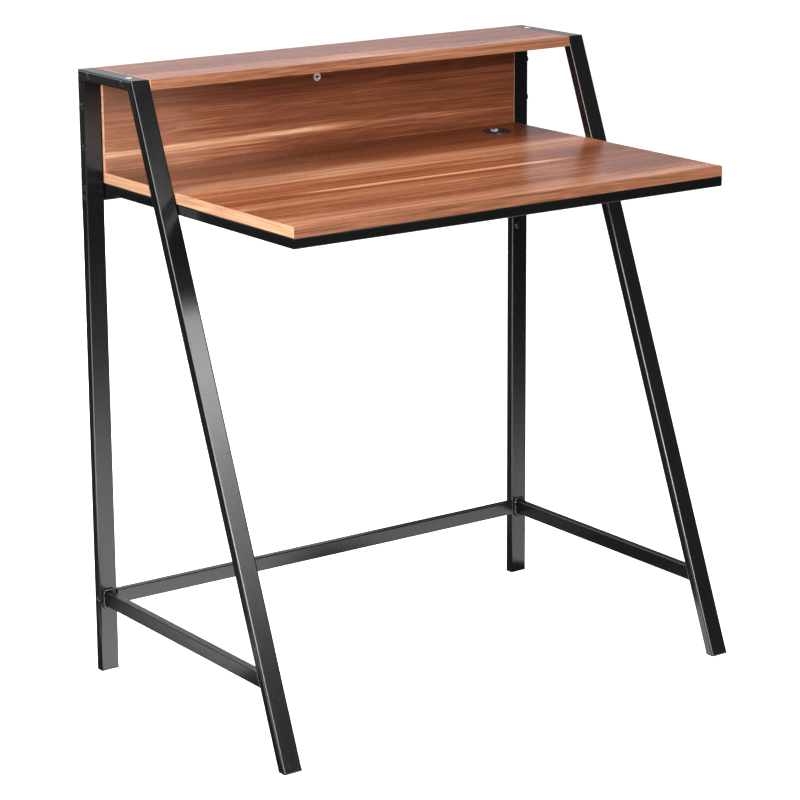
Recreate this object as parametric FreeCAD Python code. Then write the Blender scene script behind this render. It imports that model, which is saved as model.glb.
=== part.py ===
import FreeCAD
import Part
import math
import os

V = FreeCAD.Vector

# Overall sizes: origin on the floor under the middle of the desk, front towards -Y
desk_width = 800.0
desk_height = 900.0
floor_depth = 510.0
top_depth = 150.0
shelf_gap = 135.0

# Steel tube of the side frames, wide face to the front
leg_width = 30.0
leg_depth = 15.0
leg_corner = 2.5
tube_wall = 1.2
inner_corner_share = 0.4

# Lower rails: side stretchers and crossbar share one tube
rail_depth = 12.0
rail_height = 22.0
rail_corner = 2.0
rail_floor_gap = 101.0
weld_leg = 6.4
weld_throat = 1.0
weld_corner = 4.0
weld_belly_shares = (0.4, 0.72)

# Rails under the worktop
rear_rail_height = 25.0
apron_size = 15.0
apron_corner = 1.5
apron_setback = 1.0

# Boards and their edge bands
board_thickness = 15.0
band_thickness = 1.0
worktop_setback = 2.0
worktop_side_gap = 0.5
shelf_overhang = 5.0
panel_inset = 3.5

# Cable grommet in the worktop
grommet_from_right = 75.0
grommet_from_back = 68.5
grommet_bore_radius = 20.5
grommet_wall = 1.4
grommet_flange = 1.3
grommet_lip = 0.9
grommet_length = 13.5
grommet_clearance = 0.3

# Cam lock that pulls the shelf down on the back panel
cam_from_middle = 3.5
cam_drop = 29.4
cam_radius = 6.2
cam_depth = 12.0
cam_clearance = 0.3
cam_pocket_radius = 4.7
cam_throw = 0.5
cam_slot_spare_deg = 30.0
cam_ring_width = 0.9
cam_ring_inset = 0.8
cam_ring_depth = 0.5
cam_cross_length = 7.4
cam_cross_width = 2.1
cam_cross_depth = 2.6
dowel_head_radius = 2.8
dowel_head_top = 2.9
dowel_head_height = 2.4
dowel_neck_radius = 1.9
dowel_slack = 0.4
dowel_body_radius = 3.0
dowel_thread_length = 10.0

# Fasteners
bolt_radius = 3.0
bolt_head_radius = 4.6
bolt_head_height = 1.0
bolt_socket_flats = 4.0
bolt_socket_depth = 0.7
bolt_hole_gap = 0.3
thread_gap = 0.1
head_bevel_share = 0.45
shelf_screw_margin = 30.5
shelf_screw_bite = 35.0
panel_screw_pitch = 60.0
panel_screw_bite = 30.0
rear_bolt_pitch = 13.0
nut_plate_thickness = 6.0
nut_plate_gap = 0.2
front_nut_flats = 10.0
front_nut_height = 5.0
wood_screw_radius = 2.0
wood_screw_head_radius = 4.0
wood_screw_bite = 11.0
front_screw_shares = (-0.34, 0.0, 0.34)
side_screw_shares = (0.2, 0.85)

# Plastic feet
foot_flange = 2.5
foot_bevel = 0.8
foot_insert = 16.0
foot_wall = 1.6
foot_gap = 0.3
foot_fin_height = 1.2
foot_fin_pitch = 4.0
foot_fin_count = 3

# Hole plugs: one on the right rear leg, one on top of each top rail
plug_radius = 4.8
plug_stem_radius = 3.2
leg_plug_drop = 169.0
leg_plug_from_inside = 10.0
leg_plug_dome = 1.6
leg_plug_stem = 5.0
rail_plug_from_end = 30.0
rail_plug_dome = 0.5
rail_plug_stem = 2.4

overrun = 20.0

# Places worked out from the sizes above
half_width = desk_width / 2
inner_x = half_width - leg_width
leg_mid_x = half_width - leg_width / 2
rear_y = floor_depth / 2
front_y = rear_y - floor_depth
top_front_y = rear_y - top_depth
rear_face_y = rear_y - leg_depth
slant = math.atan2(top_front_y - front_y, desk_height)
leg_level_depth = leg_depth / math.cos(slant)
rail_underside = desk_height - leg_depth
panel_back_y = rear_y - panel_inset
panel_front_y = panel_back_y - board_thickness
bolt_line_y = panel_back_y - board_thickness / 2
shelf_underside = desk_height - board_thickness
worktop_height = shelf_underside - shelf_gap
worktop_underside = worktop_height - board_thickness
worktop_front_y = front_y + worktop_setback
worktop_half = inner_x - worktop_side_gap
apron_front_y = worktop_front_y + apron_setback
apron_mid_z = worktop_underside - apron_size / 2
rear_rail_mid_z = worktop_underside - rear_rail_height / 2
rail_mid_z = rail_floor_gap + rail_height / 2
rear_rail_front_y = bolt_line_y - rail_depth / 2
shelf_front_y = top_front_y - shelf_overhang
shelf_mid_z = desk_height - board_thickness / 2
panel_mid_z = (worktop_height + shelf_underside) / 2
grommet_x = inner_x - grommet_from_right
grommet_y = panel_back_y - grommet_from_back
grommet_sleeve_radius = grommet_bore_radius + grommet_wall
cam_x = -cam_from_middle
cam_z = shelf_underside - cam_drop
up_the_leg = V(0, math.sin(slant), math.cos(slant))
into_front_leg = V(0, math.cos(slant), -math.sin(slant))


def front_leg_face_y(z):
    return front_y + (top_front_y - front_y) * z / desk_height


def front_leg_back_y(z):
    return front_leg_face_y(z) + leg_level_depth


# Basic forms
def placed(shape, start, direction):
    shape.Placement = FreeCAD.Placement(start, FreeCAD.Rotation(V(0, 0, 1), direction))
    return shape


def rounded_outline(width, depth, corner):
    x = width / 2 - corner
    y = depth / 2 - corner
    centres = (V(x, y, 0), V(-x, y, 0), V(-x, -y, 0), V(x, -y, 0))
    arcs = []
    for turn, centre in enumerate(centres):
        arcs.append(Part.makeCircle(corner, centre, V(0, 0, 1), 90 * turn, 90 * turn + 90))
    edges = []
    for this, after in zip(arcs, arcs[1:] + arcs[:1]):
        edges.append(this)
        edges.append(Part.makeLine(this.Vertexes[-1].Point, after.Vertexes[0].Point))
    return Part.Wire(edges)


def bar(width, depth, corner, length):
    return Part.Face(rounded_outline(width, depth, corner)).extrude(V(0, 0, length))


def tube(width, depth, corner, length):
    hollow_width = width - 2 * tube_wall
    hollow_depth = depth - 2 * tube_wall
    outline = rounded_outline(width, depth, corner)
    hollow = rounded_outline(hollow_width, hollow_depth, corner * inner_corner_share)
    face = Part.Face(outline).cut(Part.Face(hollow))
    return face.extrude(V(0, 0, length)).Solids[0]


def block(low, high):
    return Part.makeBox(high.x - low.x, high.y - low.y, high.z - low.z, low)


def trim(shape, point, normal):
    """Take away all that lies past a plane, on the side its normal points to."""
    reach = desk_width + desk_height
    side = Part.makeBox(reach, reach, reach, V(-reach / 2, -reach / 2, 0))
    return shape.cut(placed(side, point, normal))


def drill(shape, radius, start, end):
    run = end - start
    return shape.cut(Part.makeCylinder(radius, run.Length, start, run))


def drill_across(shape, mid_x, places, radius):
    """Drill level holes along X through one side frame's tube."""
    half = V(leg_width / 2 + overrun, 0, 0)
    for y, z in places:
        middle = V(mid_x, y, z)
        shape = drill(shape, radius, middle - half, middle + half)
    return shape


def save(name, shape):
    shape.exportStep("parts/" + name + ".step")


def save_group(name, shapes):
    save(name, Part.makeCompound(shapes))


# Hole places shared by the frames, the boards and the fasteners
shelf_screw_depths = (shelf_front_y + shelf_screw_margin, rear_y - shelf_screw_margin)
shelf_screw_places = [(y, shelf_mid_z) for y in shelf_screw_depths]
panel_screw_places = [(bolt_line_y, panel_mid_z + side * panel_screw_pitch / 2) for side in (-1, 1)]
rear_bolt_places = [(bolt_line_y, rear_rail_mid_z + side * rear_bolt_pitch / 2) for side in (-1, 1)]
crossbar_bolt_places = [(bolt_line_y, rail_mid_z)]
front_bolt_y = front_leg_face_y(apron_mid_z) + leg_level_depth / 2
bolt_hole_radius = bolt_radius + bolt_hole_gap


# Side frames: mitred tubes welded into a sloping A
def mitre_normal(outer, inner):
    return V(0, outer.z - inner.z, inner.y - outer.y)


rear_mitre_point = V(0, rear_y, desk_height)
rear_mitre = mitre_normal(rear_mitre_point, V(0, rear_face_y, rail_underside))
front_mitre_point = V(0, top_front_y, desk_height)
front_mitre = mitre_normal(front_mitre_point, V(0, front_leg_back_y(rail_underside), rail_underside))
foot_level = V(0, 0, foot_flange)


def rear_leg(mid_x):
    leg = tube(leg_width, leg_depth, leg_corner, desk_height + overrun)
    leg = placed(leg, V(mid_x, rear_y - leg_depth / 2, 0), V(0, 0, 1))
    leg = trim(leg, foot_level, V(0, 0, -1))
    leg = trim(leg, rear_mitre_point, -rear_mitre)
    holes = panel_screw_places + rear_bolt_places + crossbar_bolt_places
    return drill_across(leg, mid_x, holes, bolt_hole_radius)


def top_rail(mid_x):
    rail = tube(leg_width, leg_depth, leg_corner, top_depth + 2 * overrun)
    rail = placed(rail, V(mid_x, top_front_y - overrun, desk_height - leg_depth / 2), V(0, 1, 0))
    rail = trim(rail, rear_mitre_point, rear_mitre)
    rail = trim(rail, front_mitre_point, -front_mitre)
    rail = plug_hole(rail, rail_plug_seat(mid_x), V(0, 0, 1))
    return drill_across(rail, mid_x, shelf_screw_places, bolt_hole_radius)


def front_leg_bar(make, width, depth, corner, mid_x):
    """A bar or tube on the centre line of the sloping front leg, past both of its ends."""
    length = desk_height / math.cos(slant) + 2 * overrun
    start = V(mid_x, front_y + leg_level_depth / 2, 0) - up_the_leg * overrun
    return placed(make(width, depth, corner, length), start, up_the_leg)


def front_leg(mid_x):
    leg = front_leg_bar(tube, leg_width, leg_depth, leg_corner, mid_x)
    leg = trim(leg, foot_level, V(0, 0, -1))
    leg = trim(leg, front_mitre_point, front_mitre)
    inside = V(math.copysign(inner_x, mid_x), front_bolt_y, apron_mid_z)
    outwards = V(math.copysign(leg_width / 2, mid_x), 0, 0)
    return drill(leg, bolt_hole_radius, inside - outwards, inside + outwards)


def side_stretcher(mid_x):
    start = V(mid_x, front_y, rail_mid_z)
    stretcher = tube(rail_depth, rail_height, rail_corner, rear_face_y - front_y)
    stretcher = placed(stretcher, start, V(0, 1, 0))
    return trim(stretcher, V(0, front_leg_back_y(0), 0), -into_front_leg)


def weld_outline(mid_x, margin, y_at):
    """Eight-sided outline round a stretcher; y_at gives the depth at each height."""
    x = rail_depth / 2 + margin
    z = rail_height / 2 + margin
    cut = weld_corner
    corners = [(x, z - cut), (x - cut, z), (cut - x, z), (-x, z - cut)]
    corners += [(-x, cut - z), (cut - x, -z), (x - cut, -z), (x, cut - z)]
    points = [V(mid_x + px, y_at(rail_mid_z + pz), rail_mid_z + pz) for px, pz in corners]
    return Part.makePolygon(points + points[:1])


def weld_ring(mid_x, y_at, away):
    """Fillet weld round one end of a stretcher, widest on the leg."""
    rise, spread = weld_belly_shares
    steps = ((0, weld_leg), (rise * weld_leg, spread * weld_leg), (weld_leg, weld_throat))
    outlines = []
    for climb, margin in steps:
        outlines.append(weld_outline(mid_x, margin, lambda z: y_at(z) + away * climb))
    ring = Part.makeLoft(outlines, True, True)
    core = bar(rail_depth, rail_height, rail_corner, floor_depth)
    core = placed(core, V(mid_x, front_y, rail_mid_z), V(0, 1, 0))
    return ring.cut(core)


def weld_beads(mid_x):
    return [weld_ring(mid_x, lambda z: rear_face_y, -1), weld_ring(mid_x, front_leg_back_y, 1)]


# Rails between the side frames
def cross_tube(height, depth, corner, y, z):
    rail = tube(height, depth, corner, 2 * inner_x)
    return placed(rail, V(-inner_x, y, z), V(1, 0, 0))


def lower_crossbar():
    return cross_tube(rail_height, rail_depth, rail_corner, bolt_line_y, rail_mid_z)


def rear_rail():
    return cross_tube(rear_rail_height, rail_depth, rail_corner, bolt_line_y, rear_rail_mid_z)


def nut_plates(height, mid_z, holes):
    """Threaded end plates welded into both ends of a rear rail."""
    plate_height = height - 2 * tube_wall - 2 * nut_plate_gap
    plate_depth = rail_depth - 2 * tube_wall - 2 * nut_plate_gap
    plates = []
    for side in (-1, 1):
        plate = bar(plate_height, plate_depth, rail_corner * inner_corner_share, nut_plate_thickness)
        plate = placed(plate, V(side * inner_x, bolt_line_y, mid_z), V(-side, 0, 0))
        for y, z in holes:
            face = V(side * (inner_x + overrun), y, z)
            plate = drill(plate, bolt_radius + thread_gap, face, face - V(side * (leg_width + overrun), 0, 0))
        plates.append(plate)
    return plates


# Apron frame under the worktop, mitred at its front corners
def apron_corner_cut(shape, side, keep):
    corner = V(side * inner_x, apron_front_y, apron_mid_z)
    return trim(shape, corner, V(-side, -1, 0) * -keep)


def front_apron():
    rail = tube(apron_size, apron_size, apron_corner, 2 * inner_x)
    rail = placed(rail, V(-inner_x, apron_front_y + apron_size / 2, apron_mid_z), V(1, 0, 0))
    for side in (-1, 1):
        rail = apron_corner_cut(rail, side, 1)
    for x, y in front_screw_points():
        rail = drill_up(rail, x, y, wood_screw_radius + bolt_hole_gap)
    return rail


def side_apron(side):
    rail = tube(apron_size, apron_size, apron_corner, rear_rail_front_y - apron_front_y)
    mid_x = side * (inner_x - apron_size / 2)
    rail = placed(rail, V(mid_x, apron_front_y, apron_mid_z), V(0, 1, 0))
    rail = apron_corner_cut(rail, side, -1)
    for x, y in side_screw_points(side):
        rail = drill_up(rail, x, y, wood_screw_radius + bolt_hole_gap)
    middle = V(mid_x, front_bolt_y, apron_mid_z)
    half = V(apron_size, 0, 0)
    return drill(rail, bolt_hole_radius, middle - half, middle + half)


def drill_up(shape, x, y, radius):
    """Drill upwards through the apron and on into the worktop."""
    low = V(x, y, worktop_underside - apron_size - overrun)
    high = V(x, y, worktop_underside + wood_screw_bite + thread_gap)
    return drill(shape, radius, low, high)


def front_screw_points():
    y = apron_front_y + apron_size / 2
    return [(share * 2 * inner_x, y) for share in front_screw_shares]


def side_screw_points(side):
    x = side * (inner_x - apron_size / 2)
    run = rear_rail_front_y - apron_front_y
    return [(x, apron_front_y + share * run) for share in side_screw_shares]


# Boards
def worktop():
    low = V(band_thickness - worktop_half, worktop_front_y + band_thickness, worktop_underside)
    high = V(worktop_half - band_thickness, panel_back_y - band_thickness, worktop_height)
    board = block(low, high)
    hole = grommet_sleeve_radius + grommet_clearance
    board = drill(board, hole, V(grommet_x, grommet_y, low.z), V(grommet_x, grommet_y, high.z))
    for x, y in front_screw_points() + side_screw_points(-1) + side_screw_points(1):
        board = drill_up(board, x, y, wood_screw_radius + thread_gap)
    return board


def long_band(half_length, y_outside, side, low_z, high_z):
    """Edge band along X on the front or back of a board."""
    y_inside = y_outside - side * band_thickness
    low = V(-half_length, min(y_inside, y_outside), low_z)
    return block(low, V(half_length, max(y_inside, y_outside), high_z))


def end_bands(half_length, y_low, y_high, low_z, high_z):
    """Edge bands on the left and right ends of a board."""
    bands = []
    for side in (-1, 1):
        x_inside = side * (half_length - band_thickness)
        x_outside = side * half_length
        low = V(min(x_inside, x_outside), y_low, low_z)
        bands.append(block(low, V(max(x_inside, x_outside), y_high, high_z)))
    return bands


def worktop_end_bands():
    y_low = worktop_front_y + band_thickness
    y_high = panel_back_y - band_thickness
    return end_bands(worktop_half, y_low, y_high, worktop_underside, worktop_height)


def shelf():
    low = V(band_thickness - inner_x, shelf_front_y + band_thickness, shelf_underside)
    board = block(low, V(inner_x - band_thickness, rear_y - band_thickness, desk_height))
    board = drill_ends(board, shelf_screw_places, shelf_screw_bite)
    foot = V(cam_x, bolt_line_y, shelf_underside - overrun)
    top = V(cam_x, bolt_line_y, shelf_underside + dowel_thread_length + thread_gap)
    return drill(board, dowel_body_radius + thread_gap, foot, top)


def shelf_end_bands():
    y_low = shelf_front_y + band_thickness
    bands = end_bands(inner_x, y_low, rear_y - band_thickness, shelf_underside, desk_height)
    return [drill_ends(band, shelf_screw_places, shelf_screw_bite) for band in bands]


def back_panel():
    low = V(band_thickness - inner_x, panel_front_y, worktop_height)
    board = block(low, V(inner_x - band_thickness, panel_back_y, shelf_underside))
    board = drill_ends(board, panel_screw_places, panel_screw_bite)
    face = V(cam_x, panel_front_y - overrun, cam_z)
    floor = V(cam_x, panel_front_y + cam_depth + cam_clearance, cam_z)
    board = drill(board, cam_radius + cam_clearance, face, floor)
    foot = V(cam_x, bolt_line_y, cam_z)
    top = V(cam_x, bolt_line_y, desk_height)
    return drill(board, dowel_body_radius + cam_clearance, foot, top)


def back_panel_end_bands():
    bands = end_bands(inner_x, panel_front_y, panel_back_y, worktop_height, shelf_underside)
    return [drill_ends(band, panel_screw_places, panel_screw_bite) for band in bands]


def drill_ends(board, places, bite):
    """Pilot holes along X into both ends of a board."""
    for side in (-1, 1):
        for y, z in places:
            mouth = V(side * (inner_x + overrun), y, z)
            floor = V(side * (inner_x - bite - thread_gap), y, z)
            board = drill(board, bolt_radius + thread_gap, mouth, floor)
    return board


# Cable grommet: a flanged sleeve with a rounded lip
def cable_grommet():
    top = grommet_lip
    inner = grommet_bore_radius
    outer = grommet_sleeve_radius + grommet_flange
    half_lip = grommet_lip / 2
    path = [V(inner, 0, -grommet_length), V(inner, 0, top - half_lip)]
    path += [V(inner + half_lip, 0, top), V(outer - half_lip, 0, top)]
    path += [V(outer, 0, top - half_lip), V(outer, 0, 0), V(grommet_sleeve_radius, 0, 0)]
    path += [V(grommet_sleeve_radius, 0, half_lip - grommet_length)]
    path += [V(grommet_sleeve_radius - half_lip, 0, -grommet_length)]
    section = Part.Face(Part.makePolygon(path + path[:1]))
    ring = section.revolve(V(0, 0, 0), V(0, 0, 1), 360)
    ring.translate(V(grommet_x, grommet_y, worktop_height))
    return ring


# Cam lock and its dowel; the cam's own axis is +Z here until it is placed
def cam_lock():
    mid = -board_thickness / 2
    band = dowel_head_radius + dowel_slack
    cam = Part.makeCylinder(cam_radius, cam_depth, V(0, 0, -cam_depth))
    pocket = Part.makeCylinder(cam_pocket_radius, 2 * band, V(0, -cam_throw, mid - band))
    cam = cam.cut(pocket)
    cam = drill(cam, band, V(0, 0, mid), V(0, -cam_radius - overrun, mid))
    slot_half = dowel_neck_radius + dowel_slack
    sweep = 180 + cam_slot_spare_deg
    reach = cam_radius + overrun
    slot = Part.makeCylinder(reach, 2 * slot_half, V(0, 0, mid - slot_half), V(0, 0, 1), sweep)
    slot.rotate(V(0, 0, 0), V(0, 0, 1), -90)
    cam = cam.cut(slot)
    for turn in (0, 90):
        arm = block(V(-cam_cross_length / 2, -cam_cross_width / 2, -cam_cross_depth),
                    V(cam_cross_length / 2, cam_cross_width / 2, overrun))
        arm.rotate(V(0, 0, 0), V(0, 0, 1), turn)
        cam = cam.cut(arm)
    ring_outer = cam_radius - cam_ring_inset
    groove = Part.makeCylinder(ring_outer, cam_ring_depth, V(0, 0, -cam_ring_depth))
    groove = groove.cut(Part.makeCylinder(ring_outer - cam_ring_width, cam_ring_depth, V(0, 0, -cam_ring_depth)))
    return placed(cam.cut(groove), V(cam_x, panel_front_y, cam_z), V(0, -1, 0))


def cam_dowel():
    head_low = cam_z + dowel_head_top - dowel_head_height
    neck_low = cam_z + dowel_head_top
    body_low = cam_z + cam_radius + cam_clearance
    top = shelf_underside + dowel_thread_length
    radii = (dowel_head_radius, dowel_neck_radius, dowel_body_radius)
    levels = (head_low, neck_low, body_low, top)
    path = [V(0, 0, head_low)]
    for radius, low, high in zip(radii, levels, levels[1:]):
        path += [V(radius, 0, low), V(radius, 0, high)]
    path += [V(0, 0, top)]
    dowel = Part.Face(Part.makePolygon(path + path[:1])).revolve(V(0, 0, 0), V(0, 0, 1), 360)
    dowel.translate(V(cam_x, bolt_line_y, 0))
    return dowel


# Fasteners: the head sits on the plane z = 0 with its shank below
def headed_pin(shank_radius, length, head_radius):
    bevel = bolt_head_height * head_bevel_share
    path = [V(0, 0, -length), V(shank_radius, 0, -length), V(shank_radius, 0, 0), V(head_radius, 0, 0)]
    path += [V(head_radius, 0, bolt_head_height - bevel), V(head_radius - bevel, 0, bolt_head_height)]
    path += [V(0, 0, bolt_head_height)]
    pin = Part.Face(Part.makePolygon(path + path[:1])).revolve(V(0, 0, 0), V(0, 0, 1), 360)
    socket = hexagon(bolt_socket_flats, bolt_socket_depth + overrun)
    socket.translate(V(0, 0, bolt_head_height - bolt_socket_depth))
    return pin.cut(socket)


def hexagon(flats, height):
    radius = flats / 2 / math.cos(math.radians(30))
    points = []
    for step in range(7):
        angle = math.radians(60 * step)
        points.append(V(radius * math.cos(angle), radius * math.sin(angle), 0))
    return Part.Face(Part.makePolygon(points)).extrude(V(0, 0, height))


def side_bolts(places, bite):
    """Bolts from the outer faces of both side frames, heads outside."""
    bolts = []
    for side in (-1, 1):
        for y, z in places:
            bolt = headed_pin(bolt_radius, leg_width + bite, bolt_head_radius)
            bolts.append(placed(bolt, V(side * half_width, y, z), V(side, 0, 0)))
    return bolts


def front_leg_bolts():
    bolts = []
    for side in (-1, 1):
        bolt = headed_pin(bolt_radius, apron_size + tube_wall + front_nut_height, bolt_head_radius)
        seat = V(side * (inner_x - apron_size), front_bolt_y, apron_mid_z)
        bolts.append(placed(bolt, seat, V(-side, 0, 0)))
    return bolts


def front_leg_nuts():
    """Weld nuts on the inside of the front legs' inner walls."""
    nuts = []
    for side in (-1, 1):
        nut = hexagon(front_nut_flats, front_nut_height)
        nut = drill(nut, bolt_radius + thread_gap, V(0, 0, -overrun), V(0, 0, overrun))
        nut.rotate(V(0, 0, 0), V(0, 0, 1), -side * math.degrees(slant))
        seat = V(side * (inner_x + tube_wall), front_bolt_y, apron_mid_z)
        nuts.append(placed_turned(nut, seat, V(side, 0, 0)))
    return nuts


def placed_turned(shape, start, direction):
    """Place a shape that already carries a turn about its own axis."""
    turn = FreeCAD.Rotation(V(0, 0, 1), direction)
    shape.Placement = FreeCAD.Placement(start, turn).multiply(shape.Placement)
    return shape


def worktop_screws():
    screws = []
    points = front_screw_points() + side_screw_points(-1) + side_screw_points(1)
    for x, y in points:
        screw = headed_pin(wood_screw_radius, apron_size + wood_screw_bite, wood_screw_head_radius)
        screws.append(placed(screw, V(x, y, worktop_underside - apron_size), V(0, 0, -1)))
    return screws


# Feet: a bevelled flange under the tube and a hollow finned insert inside it
def foot_plug(leg_bar, mid_x):
    flange = leg_bar(bar, leg_width, leg_depth, leg_corner, mid_x)
    flange = trim(trim(flange, V(0, 0, 0), V(0, 0, -1)), foot_level, V(0, 0, 1))
    lower = [edge for edge in flange.Edges if edge.BoundBox.ZMax < foot_bevel]
    flange = flange.makeChamfer(foot_bevel, lower)
    room = 2 * (tube_wall + foot_gap + foot_fin_height / 2)
    insert = foot_sleeve(leg_bar, mid_x, room, foot_flange, foot_insert)
    solid = flange.fuse(insert)
    for step in range(foot_fin_count):
        low = foot_flange + foot_fin_pitch * (step + 1)
        solid = solid.fuse(foot_sleeve(leg_bar, mid_x, 2 * (tube_wall + foot_gap), low, foot_fin_height))
    return solid.removeSplitter().Solids[0]


def foot_sleeve(leg_bar, mid_x, room, low, height):
    corner = leg_corner * inner_corner_share
    hollow = 2 * (tube_wall + foot_gap + foot_wall) + foot_fin_height
    outside = leg_bar(bar, leg_width - room, leg_depth - room, corner, mid_x)
    inside = leg_bar(bar, leg_width - hollow, leg_depth - hollow, corner, mid_x)
    sleeve = outside.cut(inside)
    return trim(trim(sleeve, V(0, 0, low), V(0, 0, -1)), V(0, 0, low + height), V(0, 0, 1))


def rear_leg_bar(make, width, depth, corner, mid_x):
    start = V(mid_x, rear_y - leg_depth / 2, -overrun)
    return placed(make(width, depth, corner, desk_height), start, V(0, 0, 1))


# Hole plugs with low domed heads
def leg_plug_seat():
    return V(inner_x + leg_plug_from_inside, rear_face_y, worktop_height - leg_plug_drop)


def rail_plug_seat(mid_x):
    """The right rail is the left one turned end for end, so its hole is at the other end."""
    left_y = top_front_y + rail_plug_from_end
    right_y = rear_y - rail_plug_from_end
    return V(mid_x, left_y if mid_x < 0 else right_y, desk_height)


def plug_hole(shape, seat, outwards):
    """A hole through the one wall under a plug."""
    return drill(shape, plug_stem_radius + thread_gap, seat + outwards * overrun, seat - outwards * tube_wall * 2)


def domed_plug(seat, outwards, dome_height, stem_length):
    ball_radius = (plug_radius ** 2 + dome_height ** 2) / (2 * dome_height)
    ball = Part.makeSphere(ball_radius, V(0, 0, dome_height - ball_radius))
    dome = trim(ball, V(0, 0, 0), V(0, 0, -1))
    stem = Part.makeCylinder(plug_stem_radius, stem_length, V(0, 0, -stem_length))
    return placed(dome.fuse(stem), seat, outwards)


def right_rear_leg():
    return plug_hole(rear_leg(leg_mid_x), leg_plug_seat(), V(0, -1, 0))


def leg_hole_plug():
    return domed_plug(leg_plug_seat(), V(0, -1, 0), leg_plug_dome, leg_plug_stem)


def rail_plug(mid_x):
    return domed_plug(rail_plug_seat(mid_x), V(0, 0, 1), rail_plug_dome, rail_plug_stem)


def main():
    os.makedirs("parts", exist_ok=True)
    save("left_rear_leg", rear_leg(-leg_mid_x))
    save("right_rear_leg", right_rear_leg())
    save("leg_hole_plug", leg_hole_plug())
    for name, mid_x in (("left", -leg_mid_x), ("right", leg_mid_x)):
        save(name + "_top_rail", top_rail(mid_x))
        save(name + "_rail_plug", rail_plug(mid_x))
        save(name + "_front_leg", front_leg(mid_x))
        save(name + "_side_stretcher", side_stretcher(mid_x))
        save_group(name + "_weld_beads", weld_beads(mid_x))
        save(name + "_rear_foot", foot_plug(rear_leg_bar, mid_x))
        save(name + "_front_foot", foot_plug(front_leg_bar, mid_x))
    save("lower_crossbar", lower_crossbar())
    save("rear_rail", rear_rail())
    save_group("crossbar_nut_plates", nut_plates(rail_height, rail_mid_z, crossbar_bolt_places))
    save_group("rear_rail_nut_plates", nut_plates(rear_rail_height, rear_rail_mid_z, rear_bolt_places))
    save("front_apron", front_apron())
    save("left_apron", side_apron(-1))
    save("right_apron", side_apron(1))
    save("worktop", worktop())
    save("worktop_front_band", long_band(worktop_half, worktop_front_y, -1, worktop_underside, worktop_height))
    save("worktop_rear_band", long_band(worktop_half, panel_back_y, 1, worktop_underside, worktop_height))
    save_group("worktop_end_bands", worktop_end_bands())
    save("shelf", shelf())
    save("shelf_front_band", long_band(inner_x, shelf_front_y, -1, shelf_underside, desk_height))
    save("shelf_rear_band", long_band(inner_x, rear_y, 1, shelf_underside, desk_height))
    save_group("shelf_end_bands", shelf_end_bands())
    save("back_panel", back_panel())
    save_group("back_panel_end_bands", back_panel_end_bands())
    save("cable_grommet", cable_grommet())
    save("cam_lock", cam_lock())
    save("cam_dowel", cam_dowel())
    save_group("shelf_screws", side_bolts(shelf_screw_places, shelf_screw_bite))
    save_group("back_panel_screws", side_bolts(panel_screw_places, panel_screw_bite))
    save_group("rear_rail_bolts", side_bolts(rear_bolt_places, nut_plate_thickness))
    save_group("crossbar_bolts", side_bolts(crossbar_bolt_places, nut_plate_thickness))
    save_group("front_leg_bolts", front_leg_bolts())
    save_group("front_leg_nuts", front_leg_nuts())
    save_group("worktop_screws", worktop_screws())


main()
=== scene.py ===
# %% [markdown]
# # A small A-frame computer desk
# The desk is made of flat black steel tube and boards with a reddish-brown wood-grain skin.
# Two side frames carry a worktop, and a narrow shelf on a back panel stands above it.
# The solids come in as a fixed frame that holds every size. This lesson gives them their looks.
# Lengths are in metres. X runs to the right of the desk, Y to its back and Z up from the floor.

# %% Load the frame and keep its box
import math

import bmesh
import bpy
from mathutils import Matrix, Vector


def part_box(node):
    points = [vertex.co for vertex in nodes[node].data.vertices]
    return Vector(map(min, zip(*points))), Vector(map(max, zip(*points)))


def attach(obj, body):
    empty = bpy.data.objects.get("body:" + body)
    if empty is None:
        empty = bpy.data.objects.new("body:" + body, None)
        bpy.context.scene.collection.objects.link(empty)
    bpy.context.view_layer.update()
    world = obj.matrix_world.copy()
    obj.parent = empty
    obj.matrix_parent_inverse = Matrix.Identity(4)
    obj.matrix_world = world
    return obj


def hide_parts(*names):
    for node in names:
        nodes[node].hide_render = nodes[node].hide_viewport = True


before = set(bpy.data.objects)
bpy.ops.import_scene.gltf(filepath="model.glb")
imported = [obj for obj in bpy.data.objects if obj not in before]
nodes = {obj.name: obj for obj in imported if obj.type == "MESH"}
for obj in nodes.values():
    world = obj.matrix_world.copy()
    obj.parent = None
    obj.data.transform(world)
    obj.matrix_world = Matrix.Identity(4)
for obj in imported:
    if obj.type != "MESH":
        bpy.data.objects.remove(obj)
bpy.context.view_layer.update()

scene = bpy.context.scene

# %% [markdown]
# ## Node trees written as sums
# A finish is a small sum of noises, and a sum is easier to read as a sum than as forty lines of links.
# The class below wraps one output socket. Plus, minus and times add a Math node each.
# Its method add makes any other node: type, settings, then the values or links of its sockets.

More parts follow.
